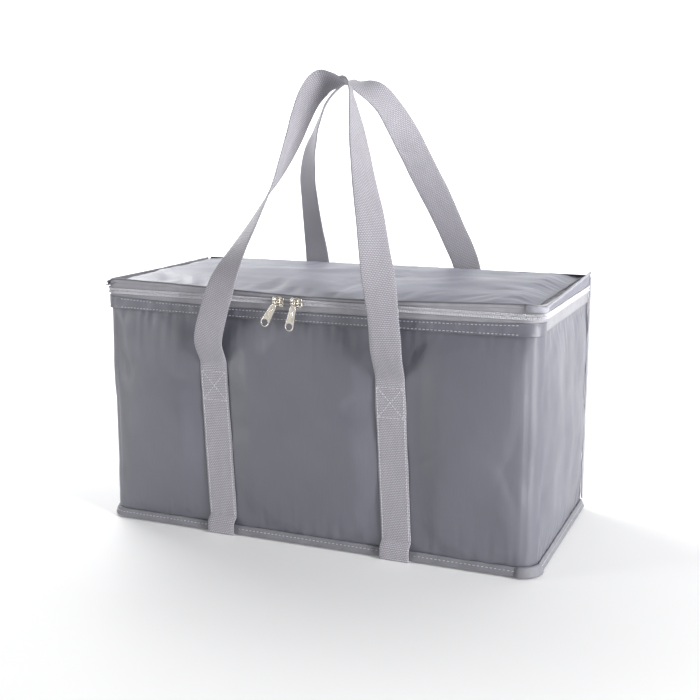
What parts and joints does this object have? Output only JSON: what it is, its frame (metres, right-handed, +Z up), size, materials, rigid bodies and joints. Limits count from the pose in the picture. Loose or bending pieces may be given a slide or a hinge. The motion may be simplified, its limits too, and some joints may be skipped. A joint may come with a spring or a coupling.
{
  "type": "insulated cooler bag",
  "caption": "Rectangular foam-walled cooler bag with a zipped fabric-hinged lid, foil lining and webbing carry handles.",
  "frame": {"origin": "middle of the bag's footprint, on the surface it stands on", "axes": "+Z up, the front with the zip sliders faces -Y, +X to the right of it"},
  "size_m": [0.462, 0.2486, 0.4588],
  "materials": {
    "nylon_wall": "coated nylon, soft sheen",
    "nylon_lid": "coated nylon, soft sheen",
    "edge_binding": "ribbed nylon tape",
    "foam": "closed-cell foam",
    "foil_liner": "silver foil film",
    "zip_tape": "woven tape",
    "zip_coil": "nylon coil",
    "webbing": "woven polypropylene webbing",
    "nickel": "bright nickel plate"
  },
  "bodies": {
    "bag": {"outer_wall": "nylon_wall", "back_panel": "nylon_wall", "base_panel": "nylon_wall", "base_binding": "edge_binding", "corner_binding_left": "edge_binding", "corner_binding_right": "edge_binding", "foam_front": "foam", "foam_back": "foam", "foam_left": "foam", "foam_right": "foam", "foam_base": "foam", "liner_wall": "foil_liner", "liner_base": "foil_liner", "hem_band": "nylon_wall", "zip_tape_lower": "zip_tape", "coil_lower": "zip_coil", "strap_front_left": "webbing", "strap_front_right": "webbing", "strap_back_left": "webbing", "strap_back_right": "webbing", "strap_base_left": "webbing", "strap_base_right": "webbing"},
    "lid": {"lid_panel": "nylon_lid", "lid_foam": "foam", "lid_liner": "foil_liner", "lid_binding": "edge_binding", "lid_strip": "nylon_wall", "zip_tape_upper": "zip_tape", "coil_upper": "zip_coil"},
    "left_slider": {"slider_left": "nickel"},
    "right_slider": {"slider_right": "nickel"},
    "left_pull": {"pull_left": "nickel"},
    "right_pull": {"pull_right": "nickel"},
    "front_handle": {"handle_front": "webbing"},
    "back_handle": {"handle_back": "webbing"}
  },
  "joints": [
    {"name": "lid_hinge", "type": "hinge", "parent": "bag", "child": "lid", "pos_m": [0, 0.107, 0.2515], "axis": [-1, 0, 0], "range_deg": [0, 110]},
    {"name": "front_handle_swing", "type": "hinge", "parent": "bag", "child": "front_handle", "pos_m": [0, -0.1071, 0.168], "axis": [1, 0, 0], "range_deg": [0, 110]},
    {"name": "back_handle_swing", "type": "hinge", "parent": "bag", "child": "back_handle", "pos_m": [0, 0.1071, 0.168], "axis": [-1, 0, 0], "range_deg": [0, 110]},
    {"name": "left_slider_travel", "type": "slide", "parent": "bag", "child": "left_slider", "axis": [-1, 0, 0], "range_m": [0, 0.17]},
    {"name": "right_slider_travel", "type": "slide", "parent": "bag", "child": "right_slider", "axis": [1, 0, 0], "range_m": [0, 0.2]},
    {"name": "left_pull_swing", "type": "hinge", "parent": "left_slider", "child": "left_pull", "pos_m": [-0.027, -0.1148, 0.241], "axis": [-1, 0, 0], "range_deg": [0, 150]},
    {"name": "right_pull_swing", "type": "hinge", "parent": "right_slider", "child": "right_pull", "pos_m": [-0.008, -0.1148, 0.241], "axis": [-1, 0, 0], "range_deg": [0, 150]}
  ],
  "couplings": [
    {"joint": "front_handle_swing", "follows": "lid_hinge", "ratio": 1},
    {"joint": "back_handle_swing", "follows": "lid_hinge", "ratio": 1}
  ]
}
